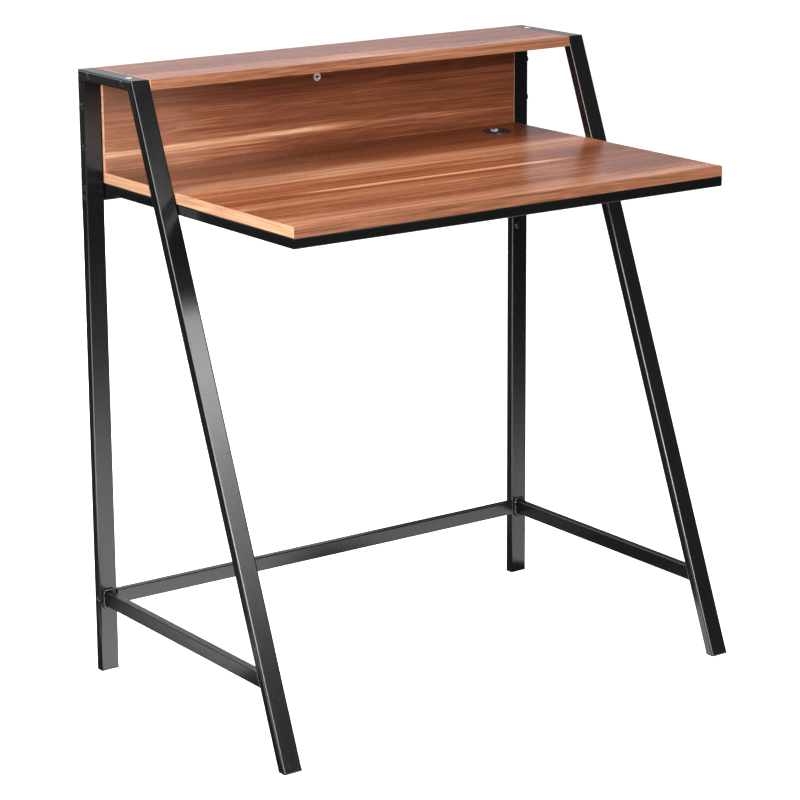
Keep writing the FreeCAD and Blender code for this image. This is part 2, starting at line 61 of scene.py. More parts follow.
# %% A socket that can take part in sums
class Wire:
    """One output socket of a node tree; each sign between wires adds a Math node."""

    def __init__(self, tree, socket=None):
        self.tree = tree
        self.socket = socket

    def add(self, kind, settings=None, sockets=None, out=0):
        """Any node: its settings first, then the values or links of its sockets."""
        node = self.tree.nodes.new(kind)
        for key, value in (settings or {}).items():
            if key == "stops":
                lay_stops(node.color_ramp, value)
            else:
                setattr(node, key, value)
        for key, value in (sockets or {}).items():
            if isinstance(value, Wire):
                self.tree.links.new(value.socket, node.inputs[key])
            else:
                node.inputs[key].default_value = value
        return Wire(self.tree, node.outputs[out] if len(node.outputs) else None)

    def math(self, operation, first, second=0.0):
        """A Math node on one or two values."""
        return self.add("ShaderNodeMath", {"operation": operation}, {0: first, 1: second})

    def __add__(self, other):
        return self.math("ADD", self, other)

    def __sub__(self, other):
        return self.math("SUBTRACT", self, other)

    def __mul__(self, other):
        return self.math("MULTIPLY", self, other)

    def __rsub__(self, other):
        return self.math("SUBTRACT", other, self)

    __radd__ = __add__
    __rmul__ = __mul__

    def band(self, low, high):
        """0 below low, 1 above high, smooth between; it falls where low is the larger."""
        settings = {"interpolation_type": "SMOOTHSTEP"}
        return self.add("ShaderNodeMapRange", settings, {0: self, 1: low, 2: high, 3: 0.0, 4: 1.0})

    def mix(self, first, second):
        """A colour between two, by this share."""
        return self.add("ShaderNodeMix", {"data_type": "RGBA"}, {0: self, 6: first, 7: second}, out=2)

    def axis(self, letter):
        """One coordinate of a place."""
        return self.add("ShaderNodeSeparateXYZ", None, {0: self}, out=letter)


def lay_stops(ramp, stops):
    """Give a colour ramp its stops as (place, colour) pairs."""
    while len(ramp.elements) > 1:
        ramp.elements.remove(ramp.elements[-1])
    ramp.elements[0].position, ramp.elements[0].color = stops[0][0], (*stops[0][1], 1)
    for place, colour in stops[1:]:
        ramp.elements.new(place).color = (*colour, 1)


# %% Start a finish, give it noise and close it
def new_finish(name):
    """An empty material and a wire with its Object coordinates, in metres."""
    finish = bpy.data.materials.new(name)
    finish.use_nodes = True
    finish.node_tree.nodes.clear()
    place = Wire(finish.node_tree).add("ShaderNodeTexCoord", out="Object")
    return finish, place


def close_finish(finish, varying, fixed, height=None, depth=0.0):
    """Join colour, roughness and an optional bump to one Principled shader."""
    wire = Wire(finish.node_tree)
    sockets = dict(fixed)
    sockets.update(varying)
    if height is not None:
        bump = {"Height": height, "Strength": 1.0, "Distance": depth}
        sockets["Normal"] = wire.add("ShaderNodeBump", None, bump)
    shader = wire.add("ShaderNodeBsdfPrincipled", None, sockets)
    wire.add("ShaderNodeOutputMaterial", None, {"Surface": shader})
    print("finish:", finish.name, len(finish.node_tree.nodes), "nodes")
    return finish


def noise(place, scale, shift=(0, 0, 0), detail=2.0, rough=0.5):
    """Noise with so many lumps to the metre on each axis; a small number runs long."""
    mapped = place.add("ShaderNodeMapping", None, {"Vector": place, "Location": shift, "Scale": scale})
    sockets = {"Vector": mapped, "Scale": 1.0, "Detail": detail, "Roughness": rough}
    return place.add("ShaderNodeTexNoise", None, sockets)


def even(scale):
    """The same scale on all three axes."""
    return (scale, scale, scale)


def shades(shade, low, high):
    """A darker and a lighter version of one colour."""
    return [(*[share * c for c in shade], 1) for share in (low, high)]


# %% [markdown]
# ## Black powder coat
# The tubes are sprayed with dry paint powder and baked. The skin is satin black with a faint pebbled
# surface, like the peel of an orange. A fine noise through a Bump node gives that peel, and a slow
# noise moves the roughness a little, because no sprayed coat is even. A few grains of dust are dull.

# %% Powder coat on the steel tubes
def powder_coat(name, shade, rough, peel_depth):
    """Sprayed paint with slow drifts, a fine peel and specks of dust."""
    finish, place = new_finish(name)
    drift = noise(place, even(9), detail=3)
    peel = noise(place, even(900), detail=2)
    dust = noise(place, even(140), (3, 1, 2), detail=4).band(0.62, 0.8)
    colour = (dust * 0.35 + drift * 0.5).mix(*shades(shade, 0.8, 1.5))
    varying = {"Base Color": colour, "Roughness": rough - 0.05 + drift * 0.08 + dust * 0.08}
    return close_finish(finish, varying, {"IOR": 1.7}, peel + dust * 0.3, peel_depth)


coat = powder_coat("black_powder_coat", (0.0036, 0.0036, 0.0038), rough=0.21, peel_depth=0.00004)

# %% [markdown]
# ## Wood-grain skin
# The boards are pressed chips under a printed paper skin. The print copies straight-grained veneer:
# long streaks of brown and tan, thin dark lines and fine pores. Each layer is one noise that runs
# long along the grain and short across it. The boldest streaks and a few tan patches are placed one
# by one, by their distance across the board, because they are what the eye remembers. The paper is
# sealed, so it shines when seen low. The worktop's underside has a plain dark backing paper.
# Some of these streaks and patches are painted light: painted shade on the back panel's top and right
# part, partly painted shade along the worktop's rear, and a painted sheen on the panel's left end.

# %% Bend the grain and lay bold streaks, some of them painted light
def stretched(along, across, grain):
    """Scales for the three axes with the grain along one of them."""
    scale = [across, across, across]
    scale["XYZ".index(grain)] = along
    return tuple(scale)


def swayed(place, grain, shift, reach, along, across):
    """Coordinates pushed gently to and fro across the grain."""
    sway = noise(place, stretched(along, across, grain), shift, detail=1) - 0.5
    push = stretched(0.0, reach, grain)
    offset = place.add("ShaderNodeVectorMath", {"operation": "SCALE"}, {0: push, "Scale": sway})
    return place.add("ShaderNodeVectorMath", None, {0: place, 1: offset})


# A streak with WHOLE for its middle and half length runs right through. Any other fades towards its
# ends, past FULL_SHARE of its half length. PATCHY is the noise that breaks a streak up.
WHOLE = (0, 1)
FULL_SHARE = 0.6
PATCHY = (3.1, 40, 40)


def streaks_and_painted_light(place, across, streaks, shift):
    """Sum of soft-edged bands of print and of painted light: across from low to high, along about a
    centre, with a strength.
    """
    run, line = place.axis("X"), place.axis(across)
    total = 0.0
    for low, high, soft, strength, centre, half in streaks:
        patch = line.band(low - soft, low + soft) * line.band(high + soft, high - soft)
        if (centre, half) != WHOLE:
            patch = patch * run.math("ABSOLUTE", run - centre).band(half, FULL_SHARE * half)
        total = total + patch * strength
    return total * (0.5 + noise(place, PATCHY, shift, detail=2))


# %% Wood grain from stretched noises
# The sways give a reach in metres first. All other pairs are lumps to the metre, along and across.
SWAYS = [(0.016, 2.6, 11), (0.006, 9, 34)]
BROAD, STREAK, FIBRE, PORE, SEAM = (1.1, 20), (2.2, 105), (6, 400), (70, 2300), (1.6, 60)
SEAM_SHARPNESS = 1500
# Tan of the print, also used for a painted sheen on the back panel's left end.
TAN_AND_SHEEN = (0.55, 0.40, 0.30, 1)
SEAM_BROWN, PORE_BROWN = (0.085, 0.024, 0.010, 1), (0.07, 0.020, 0.009, 1)
BACKING_BROWN = (0.020, 0.012, 0.009, 1)
BACKING_ENDS, BACKING_FULL = 0.0003, 0.0001
GRAIN_DEPTH = 0.00003


def wood_skin(name, grain, shift, stops, rough, ior, streaks=(), across="Y",
              shares=(0.35, 0.6, 0.6), fine=1.0, tans_and_sheen=(), backing=None):
    """Printed grain; shares weigh its broad, streaky and fibrous layers, backing is a height."""
    finish, flat = new_finish(name)
    place = flat
    for sway in SWAYS:
        place = swayed(place, grain, shift, *sway)
    broad = noise(place, stretched(*BROAD, grain), shift, detail=2)
    streak = noise(place, stretched(STREAK[0], STREAK[1] * fine, grain), shift, detail=3, rough=0.55)
    fibre = noise(place, stretched(FIBRE[0], FIBRE[1] * fine, grain), shift, detail=3, rough=0.6)
    pore = noise(place, stretched(*PORE, grain), shift, detail=1).band(0.60, 0.72)
    tone = broad * shares[0] + streak * shares[1] + fibre * shares[2] + (0.5 - sum(shares) / 2)
    # Streaks add print, and on the worktop and back panel also painted shade; tans add print, and on the
    # panel a painted sheen.
    if streaks:
        tone = tone + streaks_and_painted_light(place, across, streaks, shift)
    colour = place.add("ShaderNodeValToRGB", {"stops": stops}, {0: tone})
    if tans_and_sheen:
        colour = streaks_and_painted_light(place, across, tans_and_sheen, shift).mix(colour, TAN_AND_SHEEN)
    seam = noise(place, stretched(*SEAM, grain), [s + 5 for s in shift], detail=2) - 0.5
    line = (seam * seam * SEAM_SHARPNESS).band(1.0, 0.0)
    colour = (line * 0.25).mix(colour, SEAM_BROWN)
    colour = (pore * 0.25).mix(colour, PORE_BROWN)
    if backing is not None:
        below = flat.axis("Z").band(backing + BACKING_ENDS, backing + BACKING_FULL)
        colour = below.mix(colour, BACKING_BROWN)
    varying = {"Base Color": colour, "Roughness": rough + fibre * 0.06 + pore * 0.08}
    return close_finish(finish, varying, {"IOR": ior}, fibre * 0.5 - pore, GRAIN_DEPTH)


# %% [markdown]
# ## The three boards
# Worktop, shelf and back panel are cut from boards with the same print, and the panel's is a little
# duller: darker, with greyer light tones that are partly painted sheen. A streak says where it begins
# and ends across the board, how soft its edges are, how much lighter or darker it is, then its middle
# and half length along the board. A tan patch says the same, with its share of tan as its strength.
# Some are painted light: painted shade on the panel's top and right part and along the worktop's rear,
# and a painted sheen on the panel's left end. The boards keep their solids, so they only get a finish.

# %% Browns of the print, the panel's partly painted sheen, and the worktop's streaks and painted shade
BROWN = [(0.02, (0.070, 0.0165, 0.0055)), (0.28, (0.170, 0.046, 0.016)), (0.50, (0.290, 0.084, 0.032)),
         (0.70, (0.480, 0.186, 0.086)), (0.95, (0.790, 0.420, 0.240))]
# The panel's browns: darker, and greyer in the light tones, which partly paints in sheen.
DULLER_AND_SHEEN = [(0.02, (0.060, 0.0139, 0.0046)), (0.28, (0.147, 0.0406, 0.0153)), (0.50, (0.252, 0.079, 0.035)),
          (0.70, (0.420, 0.184, 0.095)), (0.95, (0.740, 0.428, 0.253))]
# The first worktop streak, darker along the rear by the back panel, is partly the print's tone and partly
# painted shade under the shelf.
WORKTOP_STREAKS_AND_SHADE = [
    (0.125, 0.30, 0.012, -0.20, *WHOLE), (0.203, 0.24, 0.006, 0.17, -0.22, 0.28),
    (0.012, 0.079, 0.004, 0.17, *WHOLE), (0.050, 0.066, 0.003, 0.06, 0.05, 0.4),
    (0.018, 0.027, 0.003, 0.06, 0.10, 0.3), (-0.014, 0.012, 0.006, 0.09, *WHOLE),
    (-0.074, -0.061, 0.005, 0.42, 0.0, 0.28), (-0.062, -0.055, 0.003, 0.16, -0.22, 0.2),
    (-0.086, -0.075, 0.003, -0.07, *WHOLE), (-0.122, -0.096, 0.006, 0.12, -0.22, 0.3),
    (-0.118, -0.109, 0.003, 0.10, *WHOLE), (-0.190, -0.150, 0.008, -0.05, 0.05, 0.4),
    (-0.30, -0.195, 0.016, 0.10, *WHOLE), (-0.30, -0.230, 0.006, 0.06, *WHOLE),
    (-0.30, -0.090, 0.006, 0.05, *WHOLE), (0.112, 0.195, 0.012, -0.05, -0.25, 0.35),
    (-0.225, 0.02, 0.010, -0.13, 0.42, 0.26)]
WORKTOP_TANS = [(0.034, 0.079, 0.006, 0.25, -0.28, 0.34), (0.19, 0.26, 0.010, 0.12, -0.30, 0.26)]
print("worktop:", len(WORKTOP_STREAKS_AND_SHADE), "streaks and", len(WORKTOP_TANS), "tan patches")

# %% Streaks, painted shade and painted sheen of the back panel, and streaks of the shelf
# The first two panel streaks are painted shade: darker towards the panel's right, and darker along its
# top under the shelf.
PANEL_STREAKS_AND_SHADE = [
    (0.70, 0.90, 0.01, -0.15, 0.35, 0.55), (0.842, 0.90, 0.010, -0.17, *WHOLE),
    (0.823, 0.830, 0.002, 0.07, 0.10, 0.5), (0.773, 0.781, 0.002, 0.34, -0.26, 0.36),
    (0.775, 0.781, 0.002, 0.22, 0.06, 0.25), (0.771, 0.775, 0.001, 0.14, 0.2, 0.3),
    (0.754, 0.773, 0.003, 0.12, -0.30, 0.25), (0.795, 0.850, 0.008, -0.06, -0.32, 0.35),
    (0.789, 0.799, 0.003, -0.06, 0.10, 0.4), (0.74, 0.7545, 0.002, -0.08, *WHOLE)]
# The panel's one tan patch is a painted sheen that makes its left end paler.
PANEL_PAINTED_SHEEN = [(0.70, 0.90, 0.010, 0.11, -0.42, 0.24)]
SHELF_STREAKS = [
    (0.05, 0.152, 0.006, 0.15, -0.25, 0.4), (0.05, 0.130, 0.008, 0.14, 0.20, 0.4),
    (0.16, 0.30, 0.006, -0.05, *WHOLE)]
print("back panel:", len(PANEL_STREAKS_AND_SHADE), "streaks, shelf:", len(SHELF_STREAKS))


# %% Dress the boards
def dress(node, finish):
    """Give a solid that keeps its shape a finish."""
    nodes[node].data.materials.clear()
    nodes[node].data.materials.append(finish)


worktop_under, worktop_face = [corner.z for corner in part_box("worktop")]
dress("worktop", wood_skin(
    "worktop_skin", "X", (0.3, 2.1, 0.0), BROWN, rough=0.21, ior=1.32,
    streaks=WORKTOP_STREAKS_AND_SHADE, tans_and_sheen=WORKTOP_TANS, backing=worktop_under))
dress("shelf", wood_skin(
    "shelf_skin", "X", (4.2, 7.7, 0.0), BROWN, rough=0.20, ior=1.40,
    streaks=SHELF_STREAKS, shares=(0.35, 0.6, 1.1)))
dress("back_panel", wood_skin(
    "panel_skin", "X", (8.4, 0.0, 3.3), DULLER_AND_SHEEN, rough=0.28, ior=1.4,
    streaks=PANEL_STREAKS_AND_SHADE, across="Z", shares=(0.3, 0.55, 0.75), fine=1.4, tans_and_sheen=PANEL_PAINTED_SHEEN))

# %% [markdown]
# ## Edge bands
# The cut edges of the boards are closed with thin strips of the same print. Their outer corners are
# eased by hand, which leaves a narrow highlight. A strip is a box with its edges bevelled, kept
# inside the space that the solid strip takes. The end strips get paler browns, which are painted
# light standing for the side light that falls on them. Real powder coat is too coarse to show so
# thin a strip, so the end strips are kept out of mirrors.

# %% Make a finished piece out of a mesh
def add_piece(name, mesh, finish, node):
    """Link a mesh that is already in place, dress it, tie it to the desk and let it stand for a node."""
    mesh.materials.clear()
    mesh.materials.append(finish)
    piece = bpy.data.objects.new(name, mesh)
    scene.collection.objects.link(piece)
    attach(piece, "desk")
    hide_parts(node)
    print("piece:", name, len(mesh.polygons), "faces")
    return piece


def mesh_of(shape, name):
    """Turn a bmesh into a mesh and let it go."""
    mesh = bpy.data.meshes.new(name)
    shape.to_mesh(mesh)
    shape.free()
    return mesh


def loose_boxes(node):
    """Boxes of the loose solids in a node, in the same order on every run."""
    shape = bmesh.new()
    shape.from_mesh(nodes[node].data)
    bmesh.ops.remove_doubles(shape, verts=shape.verts, dist=1e-6)
    left, boxes = dict.fromkeys(shape.verts), []
    while left:
        stack, seen = [left.popitem()[0]], []
        while stack:
            vert = stack.pop()
            seen.append(vert.co.copy())
            for edge in vert.link_edges:
                other = edge.other_vert(vert)
                if other in left:
                    del left[other]
                    stack.append(other)
        boxes.append([Vector([pick(c[i] for c in seen) for i in range(3)]) for pick in (min, max)])
    shape.free()
    return boxes


# %% Bevelled strips on the board edges
def eased_box(shape, low, high, ease):
    """Add a box with eased edges to a bmesh."""
    made = bmesh.ops.create_cube(shape, size=1.0)["verts"]
    for vert in made:
        vert.co = Vector([low[i] + (vert.co[i] + 0.5) * (high[i] - low[i]) for i in range(3)])
    edges = list(dict.fromkeys(edge for vert in made for edge in vert.link_edges))
    bmesh.ops.bevel(shape, geom=edges, offset=ease, segments=2, profile=0.5, affect="EDGES")


EASE = 0.0003
# The end strips' paler browns are painted light, for the side light that falls on them.
PALE_PAINTED_LIGHT = [(0.15, (0.36, 0.165, 0.080)), (0.5, (0.53, 0.292, 0.166)), (0.85, (0.69, 0.420, 0.265))]
EDGE = [(0.15, (0.089, 0.028, 0.012)), (0.5, (0.238, 0.090, 0.043)), (0.85, (0.42, 0.188, 0.100))]
EDGE_STREAKS = [(0.88, 0.91, 0.002, 0.07, *WHOLE), (0.72, 0.76, 0.002, -0.045, *WHOLE),
                (0.70, 0.91, 0.002, 0.07, 0.40, 0.35)]
brown_band = wood_skin(
    "brown_edge_band", "X", (1.0, 5.0, 2.0), EDGE, rough=0.30, ior=1.45,
    streaks=EDGE_STREAKS, across="Z", shares=(0.25, 0.5, 1.3), fine=1.5)
pale_painted_light_band = wood_skin(
    "pale_edge_band", "Y", (6.0, 1.0, 4.0), PALE_PAINTED_LIGHT, rough=0.36, ior=1.45,
    shares=(0.25, 0.4, 1.2), fine=1.5)
bands = [(n, pale_painted_light_band, "pale_edge_band") for n in nodes if n.endswith("end_bands")]
bands += [(n, brown_band, "brown_edge_band") for n in nodes if n.endswith(("front_band", "rear_band"))]
for node, finish, slot in bands:
    shape = bmesh.new()
    for low, high in loose_boxes(node):
        eased_box(shape, low, high, EASE)
    strip = add_piece(node + "_strip", mesh_of(shape, node + "_strip"), finish, node)
    strip.visible_glossy = finish is brown_band

# %% [markdown]
# ## Steel tubes
# A tube is drawn through rollers, so its long corners are round, and each corner shows one bright line.
# The frame's tubes meet in mitres. Here a tube is one ring of points swept along a line, and each end
# of every edge stops where it meets the cutting plane. Normals are worked out from the section,
# so the flat sides stay flat and only the corners turn the light.

# %% A rounded section and a sweep between two planes
def rounded_section(width, depth, corner, steps=6):
    """Points and outward directions round a rounded rectangle."""
    points, facing = [], []
    for turn, (sx, sy) in enumerate(((1, 1), (-1, 1), (-1, -1), (1, -1))):
        for step in range(steps + 1):
            angle = math.pi / 2 * (turn + step / steps)
            out = (math.cos(angle), math.sin(angle))
            centre = (sx * (width / 2 - corner), sy * (depth / 2 - corner))
            points.append((centre[0] + corner * out[0], centre[1] + corner * out[1]))
            facing.append(out)
    return points, facing


def swept_tube(name, section, start, along, across, planes):
    """A tube on the line from start, cut off by two planes given as (point, normal)."""
    points, facing = section
    along, across = along.normalized(), across.normalized()
    up = along.cross(across)
    rings = []
    for point, normal in planes:
        feet = [start + across * s + up * t for s, t in points]
        rings += [foot + along * ((point - foot).dot(normal) / along.dot(normal)) for foot in feet]
    count = len(points)
    faces = [(i, (i + 1) % count, count + (i + 1) % count, count + i) for i in range(count)]
    faces += [tuple(reversed(range(count))), tuple(range(count, 2 * count))]
    mesh = bpy.data.meshes.new(name)
    mesh.from_pydata(rings, [], faces)
    mesh.shade_smooth()
    outward = [across * s + up * t for s, t in facing] * 2
    normals = []
    for face in mesh.polygons:
        flat = len(face.vertices) > 4
        normals += [face.normal.copy() if flat else outward[v] for v in face.vertices]
    mesh.normals_split_custom_set(normals)
    return mesh


def add_coated(name, mesh, node):
    """A powder-coated piece that stands for one node."""
    add_piece(name, mesh, coat, node)


# %% Planes that cut the side frames
def box_of(node):
    """Low corner, high corner, middle and size of a node."""
    low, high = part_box(node)
    return low, high, (low + high) / 2, high - low


X, Y, Z = Vector((1, 0, 0)), Vector((0, 1, 0)), Vector((0, 0, 1))
LEG_CORNER = 0.0030
leg_low, leg_high, leg_middle, leg = box_of("left_rear_leg")
leg_section = rounded_section(leg.x, leg.y, LEG_CORNER)
rear_back, rear_front, top, foot = leg_high.y, leg_low.y, leg_high.z, leg_low.z
rail_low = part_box("left_top_rail")[0]
front_top, under = rail_low.y, rail_low.z
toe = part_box("left_front_leg")[0].y
lean = (toe - front_top) / (foot - top)
rise = Vector((0, lean, 1)).normalized()
level_depth = leg.y / rise.z
front_at_floor = front_top - lean * top
corner_in = front_top - lean * (top - under) + level_depth
rear_mitre = (Vector((0, rear_back, top)), Vector((0, 1, -1)))
front_mitre = (Vector((0, front_top, top)), Vector((0, top - under, corner_in - front_top)))
floor_cut = (Vector((0, 0, foot)), Z)
print("lean of the front legs:", round(math.degrees(math.atan(lean)), 2), "degrees")

# %% Side frames with mitred corners
for side, x in (("left", leg_middle.x), ("right", -leg_middle.x)):
    tubes = [
        ("rear_leg", Vector((x, leg_middle.y, 0)), Z, [floor_cut, rear_mitre]),
        ("top_rail", Vector((x, 0, (top + under) / 2)), Y, [front_mitre, rear_mitre]),
        ("front_leg", Vector((x, front_at_floor + level_depth / 2, 0)), rise, [floor_cut, front_mitre])]
    for part, start, along, cuts in tubes:
        mesh = swept_tube(part, leg_section, start, along, X, cuts)
        add_coated(f"{side}_{part}_tube", mesh, f"{side}_{part}")

# %% Crossbar, rear rail and stretchers
RAIL_CORNER = 0.002
for node in ("lower_crossbar", "rear_rail"):
    low, high, middle, size = box_of(node)
    section = rounded_section(size.z, size.y, RAIL_CORNER)
    mesh = swept_tube(node, section, middle, X, Z, [(low, X), (high, X)])
    add_coated(node + "_tube", mesh, node)
leg_back = (Vector((0, front_at_floor + level_depth, 0)), rise.cross(X))
for side in ("left", "right"):
    _, high, middle, size = box_of(side + "_side_stretcher")
    section = rounded_section(size.x, size.z, RAIL_CORNER)
    mesh = swept_tube("stretcher", section, middle, Y, X, [leg_back, (high, Y)])
    add_coated(side + "_stretcher_tube", mesh, side + "_side_stretcher")

# %% Aprons under the worktop
APRON_CORNER = 0.0015
low, high, middle, size = box_of("front_apron")
apron_section = rounded_section(size.y, size.z, APRON_CORNER)
left_mitre = (Vector((low.x, low.y, 0)), Vector((1, -1, 0)))
right_mitre = (Vector((high.x, low.y, 0)), Vector((1, 1, 0)))
mesh = swept_tube("front_apron", apron_section, middle, X, Y, [left_mitre, right_mitre])
add_coated("front_apron_tube", mesh, "front_apron")
for side, mitre in (("left", left_mitre), ("right", right_mitre)):
    _, high, middle, _ = box_of(side + "_apron")
    mesh = swept_tube("side_apron", apron_section, middle, Y, X, [mitre, (high, Y)])
    add_coated(side + "_apron_tube", mesh, side + "_apron")

# %% [markdown]
# ## Weld beads
# Each stretcher is welded to the legs by hand. Such a bead is a rope of metal laid in the corner, with
# ripples where the pool froze. It follows a path, so Geometry Nodes make it: a ring round the stretcher
# is resampled, its radius rises and falls along the way, and a circle is swept along it.

# %% Begin, end and run a tree
def new_tree(name, inputs):
    """An empty Geometry Nodes tree with named inputs."""
    tree = bpy.data.node_groups.new(name, "GeometryNodeTree")
    tree.interface.new_socket("Geometry", in_out="OUTPUT", socket_type="NodeSocketGeometry")
    for label, kind in {"Geometry": "Geometry", **inputs, "Finish": "Material"}.items():
        tree.interface.new_socket(label, in_out="INPUT", socket_type="NodeSocket" + kind)
    entry = tree.nodes.new("NodeGroupInput")
    return tree, {s.name: Wire(tree, s) for s in entry.outputs if s.name}


def close_tree(tree, geometry, finish):
    """End a tree in Realize Instances and Set Material."""
    wire = Wire(tree).add("GeometryNodeRealizeInstances", None, {"Geometry": geometry})
    wire = wire.add("GeometryNodeSetMaterial", None, {"Geometry": wire, "Material": finish})
    wire.add("NodeGroupOutput", None, {"Geometry": wire})
    print("tree:", tree.name, len(tree.nodes), "nodes")


def grown(mesh, tree, values):
    """Run a tree on a mesh and hand back the result as a plain mesh."""
    carrier = bpy.data.objects.new("carrier", mesh)
    scene.collection.objects.link(carrier)
    modifier = carrier.modifiers.new("tree", "NODES")
    modifier.node_group = tree
    for item in tree.interface.items_tree:
        if item.in_out == "INPUT" and item.name in values:
            modifier[item.identifier] = values[item.name]
    depsgraph = bpy.context.evaluated_depsgraph_get()
    result = bpy.data.meshes.new_from_object(carrier.evaluated_get(depsgraph))
    carrier.modifiers.remove(modifier)
    bpy.data.objects.remove(carrier)
    return result


# %% A tree that sweeps a rippled bead along a ring
BEAD_STEP, LUMPS_PER_METRE, LUMP_SHARE = 0.0006, 260.0, 1.1
weld_tree, port = new_tree("rippled_bead", {"Bead": "Float", "Ripple": "Float", "Pitch": "Float"})
wire = Wire(weld_tree)
path = wire.add("GeometryNodeMeshToCurve", None, {"Mesh": port["Geometry"]})
path = wire.add("GeometryNodeResampleCurve", {"mode": "LENGTH"}, {"Curve": path, "Length": BEAD_STEP})
walked = wire.add("GeometryNodeSplineParameter", out="Length")
lumps = wire.add("ShaderNodeTexNoise", None, {"Scale": LUMPS_PER_METRE, "Detail": 1.0}) - 0.5
wave = wire.math("SINE", wire.math("DIVIDE", walked * math.tau, port["Pitch"]))
swell = 1 + port["Ripple"] * wave + lumps * LUMP_SHARE
ring = wire.add("GeometryNodeCurvePrimitiveCircle", None, {"Resolution": 10, "Radius": 1.0})
bead = wire.add("GeometryNodeCurveToMesh", None,
                {"Curve": path, "Profile Curve": ring, "Scale": port["Bead"] * swell, "Fill Caps": False})
close_tree(weld_tree, bead, port["Finish"])

# %% Lay the beads at both ends of each stretcher
BEAD, RIPPLE, RIPPLE_PITCH = 0.0028, 0.10, 0.0042
BEAD_LIFT, BEAD_OFF_LEG = 0.0020, 0.0008


def bead_ring(node, y_at_floor, slope):
    """A closed ring round a stretcher, a little off the tube, in the plane of a leg's side."""
    _, _, middle, size = box_of(node)
    wide, tall = size.x + 2 * BEAD_LIFT, size.z + 2 * BEAD_LIFT
    points, _ = rounded_section(wide, tall, RAIL_CORNER + BEAD_LIFT, steps=4)
    places = [(middle.x + s, middle.z + t) for s, t in points]
    return [Vector((x, y_at_floor + slope * z, z)) for x, z in places]


leg_sides = [(rear_front - BEAD_OFF_LEG, 0.0), (leg_back[0].y + BEAD_OFF_LEG, lean)]
for side in ("left", "right"):
    rings = [bead_ring(side + "_side_stretcher", *leg_side) for leg_side in leg_sides]
    count = len(rings[0])
    edges = [(i, (i + 1) % count) for i in range(count)]
    edges += [(count + a, count + b) for a, b in edges]
    mesh = bpy.data.meshes.new("bead_path")
    mesh.from_pydata(rings[0] + rings[1], edges, [])
    mesh = grown(mesh, weld_tree, {"Bead": BEAD, "Ripple": RIPPLE, "Pitch": RIPPLE_PITCH, "Finish": coat})
    mesh.shade_smooth()
    add_coated(side + "_weld_bead", mesh, side + "_weld_beads")

# %% [markdown]
# ## Screws and bolts
# Low round heads with a hexagon socket hold the boards and rails. There are about two dozen in two sizes.
# One head is built once as a mesh, and a small tree copies it to points that carry the way each faces.
# A seeded turn about its own axis keeps the sockets from lining up, because nobody tightens them so.

# %% One head with its socket and shank
DOME = ((1.0, 0.2), (0.94, 0.6), (0.82, 0.87), (0.66, 1.0))
ROUND_STEPS = 24


def head_mesh(head, shank, height, length, flats, sink, crease=35):
    """Head above z = 0, shank below it, socket sunk from the top; DOME gives shares of both sizes."""
    around = [math.tau * i / ROUND_STEPS for i in range(ROUND_STEPS)]

    def circle(radius, z):
        return [(radius * math.cos(a), radius * math.sin(a), z) for a in around]

    def hexagon(z):
        reach = [flats / 2 / math.cos(a % (math.pi / 3) - math.pi / 6) for a in around]
        return [(r * math.cos(a), r * math.sin(a), z) for r, a in zip(reach, around)]

    rings = [circle(shank, -length), circle(shank, 0), circle(head, 0)]
    rings += [circle(head * r, height * h) for r, h in DOME]
    rings += [hexagon(height), hexagon(height - sink)]
    faces = []
    for first in range(0, (len(rings) - 1) * ROUND_STEPS, ROUND_STEPS):
        for i in range(ROUND_STEPS):
            here, there = first + i, first + (i + 1) % ROUND_STEPS
            faces.append((here, there, there + ROUND_STEPS, here + ROUND_STEPS))
    last = (len(rings) - 1) * ROUND_STEPS
    faces += [tuple(reversed(range(ROUND_STEPS))), tuple(range(last, last + ROUND_STEPS))]
    mesh = bpy.data.meshes.new("head")
    mesh.from_pydata([p for ring in rings for p in ring], [], faces)
    mesh.shade_smooth()
    mesh.set_sharp_from_angle(angle=math.radians(crease))
    return mesh


# %% A tree that sets heads on points
head_tree, port = new_tree("heads_on_points", {"Head": "Object", "Seed": "Int"})
wire = Wire(head_tree)
source = wire.add("GeometryNodeObjectInfo", None,
                  {"Object": port["Head"], "As Instance": True}, out="Geometry")
facing = wire.add("GeometryNodeInputNamedAttribute", {"data_type": "FLOAT_VECTOR"}, {"Name": "facing"})
upright = wire.add("FunctionNodeAlignRotationToVector", {"axis": "Z"}, {"Vector": facing})
spin = wire.add("FunctionNodeRandomValue", None, {2: 0.0, 3: math.tau, "Seed": port["Seed"]}, out=1)
turn = wire.add("FunctionNodeAxisAngleToRotation", None, {"Axis": (0, 0, 1), "Angle": spin})
set_in = wire.add("FunctionNodeRotateRotation", {"rotation_space": "LOCAL"},
                  {"Rotation": upright, "Rotate By": turn})
heads = wire.add("GeometryNodeInstanceOnPoints", None,
                 {"Points": port["Geometry"], "Instance": source, "Rotation": set_in})
close_tree(head_tree, heads, port["Finish"])

# %% [markdown]
# ## Metals of the fittings
# Screws are zinc-plated and blackened, nuts and dowel are plain zinc, and the cam lock is cast zinc.
# Plating is a mirror with faint stains and fine turning marks. The cam's face is dull and near-white,
# nearly like paint, which is partly painted reflection for the shine of zinc. Past a depth its colour
# falls off to a painted shade, for the shade in its cross slot.

# %% Black, bright and cast zinc
# Painted shade for the bottom of the cam's cross slot, and the depth over which it fades in.
RECESS_PAINTED_SHADE = (0.012, 0.010, 0.008, 1)
RECESS_SHADE_FADE = 0.0003


